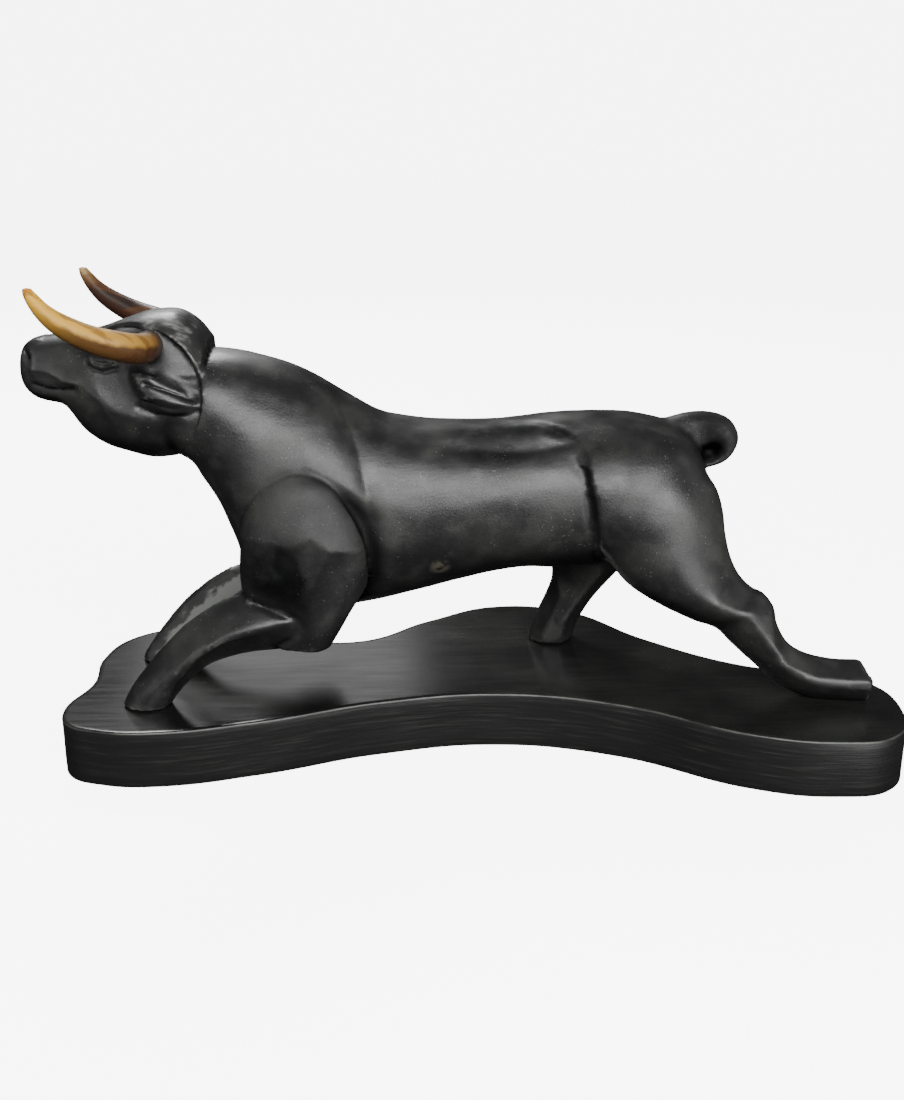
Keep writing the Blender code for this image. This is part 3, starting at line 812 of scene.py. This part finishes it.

# Rubbed edges where the skin bends out; painted shade where it bends in and in the cut grooves.
bull_outward = outward_of(bull.data)
lengths = np.linalg.norm(bull_points[bull_edges[:, 0]] - bull_points[bull_edges[:, 1]], axis=1)
counts = np.bincount(bull_edges.ravel(), minlength=len(bull_points))
reach = (np.bincount(bull_edges[:, 0], lengths, len(bull_points))
         + np.bincount(bull_edges[:, 1], lengths, len(bull_points))) / np.maximum(counts, 1)
bend = -((neighbour_mean(bull_points, bull_edges) - bull_points) * bull_outward).sum(1) / reach**2
for _ in range(3):
    bend = neighbour_mean(bend[:, None], bull_edges)[:, 0]
keep_attribute(bull.data, "worn", climb(bend, 35, 140))
keep_attribute(bull.data, "crease_shade", np.maximum(climb(-bend, 30, 140), np.clip(groove / 2.5, 0, 1)))
# Painted sheen on the far foreleg's flat, where it faces this side, and over the crown.
painted_sheen = keen(away_from_line(side_view(bull_points), SHEEN_FLAT), 11)
painted_sheen = painted_sheen * climb(-bull_outward[:, 1], 0.2, 0.5) * (bull_points[:, 1] > 5 * SHARE)
back_x, back_y, back_z = (bull_points - at(0, 0, 0)).T / SHARE
crown = climb(back_x, -182, -172) * (1 - climb(back_x, -150, -141)) * climb(back_z, 186, 197)
keep_attribute(bull.data, "painted_sheen", np.maximum(painted_sheen, 0.36 * crown))

# Fewer faces where the skin is even.
thinning = bull.modifiers.new("thinning", "DECIMATE")
bull.data.calc_loop_triangles()
thinning.ratio = FACE_LIMIT / len(bull.data.loop_triangles)
settled(bull)


def bull_finish():
    material, start, shader = new_finish("waxed_ebonised_wood")
    place = start.node("TexCoord", {}, output="Object")
    cloud = mottle(place, 28, 5)
    grain = mottle(place, 60, 4, stretch=(1, 4, 4))
    fine = mottle(place, 900, 2)
    worn = start.node("Attribute", {}, output="Fac", attribute_name="worn")
    crease_shade = start.node("Attribute", {}, output="Fac", attribute_name="crease_shade")
    patches = mottle(place, 75, 5)
    dusty = eased(cloud, 0.42, 0.66) * 0.6 + eased(patches, 0.5, 0.66) * 0.4
    wood = mixed(dusty, EBONY, EBONY_DUSTY)
    # Painted sheen: pale grey in streaks where that attribute lies, a highlight on the crown and the far foreleg.
    painted_sheen = start.node("Attribute", {}, output="Fac", attribute_name="painted_sheen")
    wood = mixed(worn * eased(mottle(place, 120, 3), 0.38, 0.62) * 0.25, wood, EBONY_WORN)
    sheen_streaks = mottle(place, 150, 4, stretch=(1, 2.5, 1))
    sheen_mask = eased(painted_sheen + 1.2 * (sheen_streaks - 0.5), 0.28, 0.6) * eased(painted_sheen, 0.02, 0.3)
    wood = mixed(sheen_mask * 0.8, wood, PAINTED_SHEEN_GREY)
    # Painted shade: the creases, hollows and grooves darkened to near-black.
    wood = mixed(crease_shade, wood, PAINTED_SHADE_BLACK)
    facing = start.node("NewGeometry", {}, output="Normal")
    up = start.node("SeparateXYZ", {"Vector": facing}, output="Z")
    # Painted shade in the creases, on faces turned down and in patches; it also turns metallic, so the dark colour
    # takes the highlight away.
    painted_shade = 0.7 * crease_shade + 0.75 * (1 - eased(up, -0.95, -0.25))
    for centre, radius, amount in PAINTED_SHADE_PATCHES:
        painted_shade = painted_shade + amount * eased(patches, 0.1, 0.6) * spot(place, at(*centre), radius)
    painted_shade = eased(painted_shade, 0, 1.1)
    painted_shade.into(shader.inputs["Metallic"])
    wood = mixed(painted_shade, wood, PAINTED_SHADE_BLACK)
    flake = start.node("TexVoronoi", {"Vector": place, "Scale": 430}, output="Distance")
    specks = (1 - eased(flake, 0.10, 0.17)) * eased(mottle(place, 60, 3), 0.5, 0.62)
    wood = mixed(specks * 0.35, wood, DUST)
    knot = spot(place, at(*KNOT), 0.007) * eased(mottle(place, 260, 3), 0.36, 0.6)
    wood = mixed(knot * 0.35, wood, KNOT_PALE)
    wood.into(shader.inputs["Base Color"])
    gloss = 0.41 + 0.24 * (cloud - 0.5) + 0.26 * (patches - 0.5) + 0.16 * (fine - 0.5) + 0.08 * (grain - 0.5)
    gloss = gloss + 0.25 * crease_shade - 0.06 * worn
    for centre, radius in DULL_PATCHES:
        gloss = gloss + 0.24 * spot(place, at(*centre), radius)
    gloss.into(shader.inputs["Roughness"])
    brushed = bump(grain, 0.10, 0.0008)
    bump(fine, 0.14, 0.0005, brushed).into(shader.inputs["Normal"])
    return material


bull.data.materials.append(bull_finish())
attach(bull, "root")
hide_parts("bull")

# Horns
# Two small real horns, scraped thin and polished, honey-coloured with dark roots and undersides.
# Each root is set into a hole in the side of the crown.
HORN_ROOT_DIAMETER = 0.0152
SOCKET_DEPTH = 0.012
# Each row: x, y, z of the horn's middle and its thickness as a share of the root's
HORN = (
    (-170.5, 30, 192, 1.0),
    (-171, 36, 192.5, 1.0),
    (-173.5, 43, 193.5, 0.99),
    (-179.5, 48, 195.5, 0.96),
    (-189, 51, 198.5, 0.9),
    (-198, 52.5, 202.5, 0.82),
    (-207, 53.5, 208, 0.7),
    (-213, 54, 213.5, 0.56),
    (-217, 54, 219, 0.44),
    (-219.2, 54, 223, 0.3),
    (-219.5, 54, 224, 0.14),
)
# Colours from the root to the tip
NEAR_HORN = (
    (0.0, (0.05, 0.025, 0.012, 1)), (0.12, (0.22, 0.12, 0.03, 1)), (0.3, (0.36, 0.20, 0.04, 1)),
    (0.5, (0.50, 0.28, 0.045, 1)), (0.8, (0.58, 0.32, 0.035, 1)), (0.94, (0.44, 0.15, 0.008, 1)),
    (1.0, (0.46, 0.20, 0.014, 1)),
)
FAR_HORN = (
    (0.0, (0.16, 0.10, 0.055, 1)), (0.25, (0.10, 0.065, 0.04, 1)), (0.45, (0.022, 0.015, 0.012, 1)),
    (0.72, (0.035, 0.024, 0.017, 1)), (0.84, (0.22, 0.14, 0.06, 1)), (1.0, (0.52, 0.36, 0.16, 1)),
)
HORN_STREAK = (0.09, 0.036, 0.012, 1)
HORN_UNDERSIDE = (0.035, 0.014, 0.009, 1)


def horn_shell(side):
    rows = smooth_rows(HORN, 10)
    path = [at(x, side * y, z) for x, y, z, _ in rows]
    radii = [share * HORN_ROOT_DIAMETER / 2 for *_, share in rows]
    path = [path[0] - Vector((0, side * SOCKET_DEPTH, 0))] + path
    radii = [radii[0]] + radii
    rings = []
    for k, (centre, radius) in enumerate(zip(path, radii)):
        ahead = path[min(k + 1, len(path) - 1)] - path[max(k - 1, 0)]
        turn = ahead.to_track_quat("Z", "Y")
        rings.append([
            centre + turn @ Vector((radius * math.cos(a), radius * math.sin(a), 0))
            for a in (math.tau * i / 48 for i in range(48))
        ])
    return skin(rings)


def horn_places(horn):
    """Keeps how far each point is along the horn and how much it faces down, for the finish."""
    points = places_of(horn.data)
    outward = outward_of(horn.data)
    path = np.array([at(x, y, z) for x, y, z, _ in smooth_rows(HORN, 10)])
    mirrored = np.stack([points[:, 0], np.abs(points[:, 1]), points[:, 2]], 1)
    nearest = np.linalg.norm(mirrored[:, None] - path[None], axis=2).argmin(1)
    keep_attribute(horn.data, "along", nearest / (len(path) - 1))
    keep_attribute(horn.data, "under", 0.5 - 0.5 * outward[:, 2])


def horn_finish(name, colours):
    """Horn whose colour runs from root to tip through its stops, streaked and dark beneath."""
    material, start, shader = new_finish(name)
    place = start.node("TexCoord", {}, output="Object")
    along = start.node("Attribute", {}, output="Fac", attribute_name="along")
    under = start.node("Attribute", {}, output="Fac", attribute_name="under")
    streaks = mottle(place, 300, 4, stretch=(0.12, 1, 0.4))
    cloud = mottle(place, 110, 4)
    drift = along + 0.16 * (cloud - 0.5) + 0.10 * (streaks - 0.5)
    horn = start.node("ValToRGB", {"Fac": drift}, stops=colours)
    horn = mixed(eased(streaks, 0.47, 0.6) * 0.6, horn, HORN_STREAK)
    rootward = 1 - eased(along, 0.45, 0.95)
    beneath = eased(under + 0.35 * (cloud - 0.5), 0.3, 0.54)
    horn = mixed(beneath * rootward * 0.9, horn, HORN_UNDERSIDE)
    horn.into(shader.inputs["Base Color"])
    shader.inputs["Specular IOR Level"].default_value = 0.12
    gloss = 0.36 + 0.2 * (cloud - 0.5)
    gloss.into(shader.inputs["Roughness"])
    bump(streaks, 0.12, 0.0006).into(shader.inputs["Normal"])
    return material


for word, side, colours in (("left", -1, NEAR_HORN), ("right", 1, FAR_HORN)):
    horn = piece_of(word + "_polished_horn", horn_shell(side))
    horn_places(horn)
    horn.data.materials.append(horn_finish(word + "_polished_horn", colours))
    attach(horn, "root")
    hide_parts(word + "_horn")

# Room
# A plain pale floor under soft studio lights: a large one overhead and a bright one behind, left.
# The camera stands where the photograph was taken from.
FLOOR_HALF = 12.0
FLOOR_GLOW = 6.5
BACKDROP_WHITE = (6.8, 6.8, 6.8, 1)
FLOOR_WHITE = (0.86, 0.86, 0.86, 1)
CAMERA_PLACE = (-0.0431, -0.6427, 0.319)
CAMERA_DOWN, CAMERA_TURN = 18.4, 2.5
CAMERA_LENS = 39.44


def floor_plane():
    bm = bmesh.new()
    bmesh.ops.create_grid(bm, x_segments=1, y_segments=1, size=FLOOR_HALF)
    return piece_of("pale_floor", bm)


def floor_finish():
    material, start, shader = new_finish("pale_floor")
    shader.inputs["Base Color"].default_value = FLOOR_WHITE
    shader.inputs["Roughness"].default_value = 0.9
    shader.inputs["Specular IOR Level"].default_value = 0.1
    shader.inputs["Emission Color"].default_value = (1, 1, 1, 1)
    shader.inputs["Emission Strength"].default_value = FLOOR_GLOW
    return material


def softbox(name, place, aim, width, height, watts):
    lamp = bpy.data.lights.new(name, "AREA")
    lamp.shape = "RECTANGLE"
    lamp.size, lamp.size_y = width, height
    lamp.energy = watts
    thing = bpy.data.objects.new(name, lamp)
    thing.location = place
    thing.rotation_euler = (Vector(aim) - Vector(place)).to_track_quat("-Z", "Y").to_euler()
    thing.visible_camera = False
    bpy.context.scene.collection.objects.link(thing)
    return thing


floor = floor_plane()
floor.data.materials.append(floor_finish())
floor.visible_glossy = False
floor.visible_diffuse = False

softbox("front_softbox", (0.15, -1.4, 0.9), (0, 0, 0.1), 1.8, 1.0, 60)
softbox("low_front_softbox", (0.75, -1.3, 0.2), (0, 0, 0.1), 0.8, 0.5, 6)
softbox("floor_bounce", (0.6, -0.55, 0.004), (0.6, -0.55, 1), 0.8, 0.8, 5)
softbox("right_softbox", (1.5, 0.1, 0.9), (0, 0, 0.1), 1.0, 0.8, 1.5)
softbox("left_softbox", (-1.2, -0.8, 0.4), (0, 0, 0.1), 0.7, 0.7, 2.2)
softbox("high_rear_softbox", (-0.44, 1.15, 1.42), (0, 0, 0.1), 0.6, 0.55, 28)
softbox("low_rear_softbox", (-0.31, 1.8, 0.86), (0, 0, 0.1), 0.6, 0.32, 1.1)

world = bpy.data.worlds.new("studio")
world.use_nodes = True
bpy.context.scene.world = world
sky = Wire(world.node_tree)
seen = sky.node("LightPath", {}, output="Is Camera Ray")
upward = sky.node("SeparateXYZ", {"Vector": sky.node("TexCoord", {}, output="Generated")}, output="Z")
glow = sky.node("ValToRGB", {"Fac": 0.5 + 0.5 * upward}, stops=(
    (0.4, (0.03, 0.03, 0.03, 1)), (1.0, (0.05, 0.05, 0.05, 1))))
mixed(seen, glow, BACKDROP_WHITE).into(world.node_tree.nodes["Background"].inputs["Color"])

camera_data = bpy.data.cameras.new("camera")
camera_data.lens = CAMERA_LENS
camera = bpy.data.objects.new("camera", camera_data)
camera.location = CAMERA_PLACE
down, turn = math.radians(CAMERA_DOWN), math.radians(CAMERA_TURN)
aim = Vector((math.sin(turn) * math.cos(down), math.cos(turn) * math.cos(down), -math.sin(down)))
camera.rotation_euler = aim.to_track_quat("-Z", "Y").to_euler()
bpy.context.scene.collection.objects.link(camera)
bpy.context.scene.camera = camera
